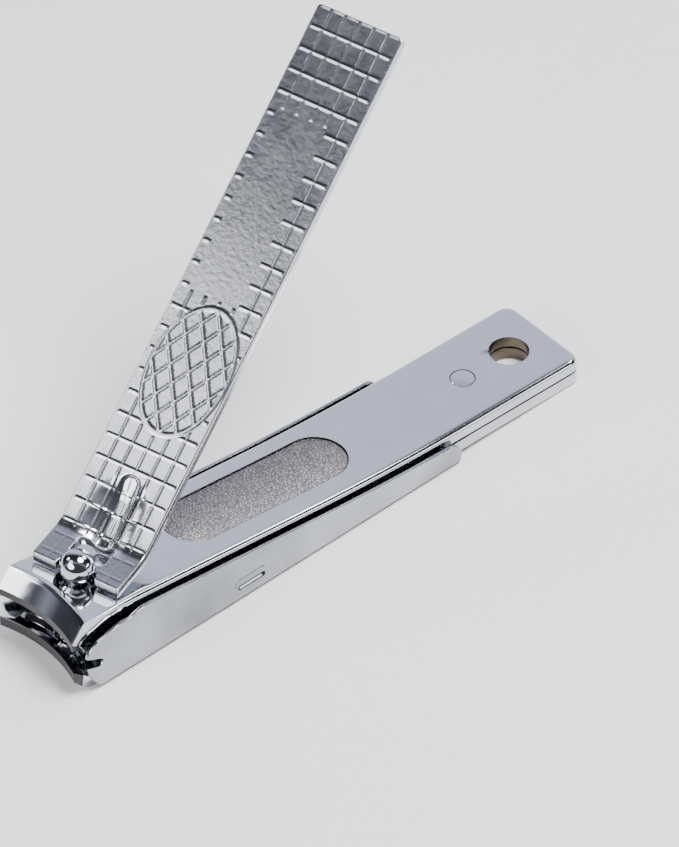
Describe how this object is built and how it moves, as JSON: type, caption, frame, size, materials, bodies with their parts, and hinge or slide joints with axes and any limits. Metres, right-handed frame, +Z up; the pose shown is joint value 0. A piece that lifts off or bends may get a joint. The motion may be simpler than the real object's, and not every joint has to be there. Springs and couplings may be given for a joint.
{
  "type": "nail clipper",
  "caption": "Lever-operated nail clipper with concave jaws, a swivelling handle, a file in the upper arm and a clippings catcher.",
  "frame": {"origin": "middle of the catcher's flat underside", "axes": "+X towards the keyring end, +Z up, away from the catcher's underside; the jaws are at -X"},
  "size_m": [0.0845, 0.0314, 0.0537],
  "materials": {
    "chromed_steel": "polished chrome",
    "chromed_sheet": "bright chrome on thin sheet",
    "etched_steel": "etched file texture"
  },
  "bodies": {
    "lower_body": {"lower_arm": "chromed_steel", "upper_arm_tail": "chromed_steel", "clippings_catcher": "chromed_sheet", "rear_rivet": "chromed_steel"},
    "upper_jaw": {"upper_arm": "chromed_steel", "nail_file": "etched_steel"},
    "pin": {"pivot_pin": "chromed_steel"},
    "handle": {"lever": "chromed_steel"}
  },
  "joints": [
    {"name": "jaw_close", "type": "hinge", "parent": "lower_body", "child": "upper_jaw", "pos_m": [0.0217, 0, 0.00383], "axis": [0, -1, 0], "range_deg": [0, 3.3]},
    {"name": "pin_swivel", "type": "hinge", "parent": "lower_body", "child": "pin", "pos_m": [-0.03, 0, 0.01061], "axis": [0.1265, 0, 0.992], "continuous": true},
    {"name": "lever_press", "type": "hinge", "parent": "pin", "child": "handle", "pos_m": [-0.0285, 0.0004, 0.01176], "axis": [-0.2817, 0.9588, 0.0359], "range_deg": [0, 28]}
  ],
  "couplings": [
    {"joint": "jaw_close", "follows": "lever_press", "ratio": 0.1172}
  ]
}
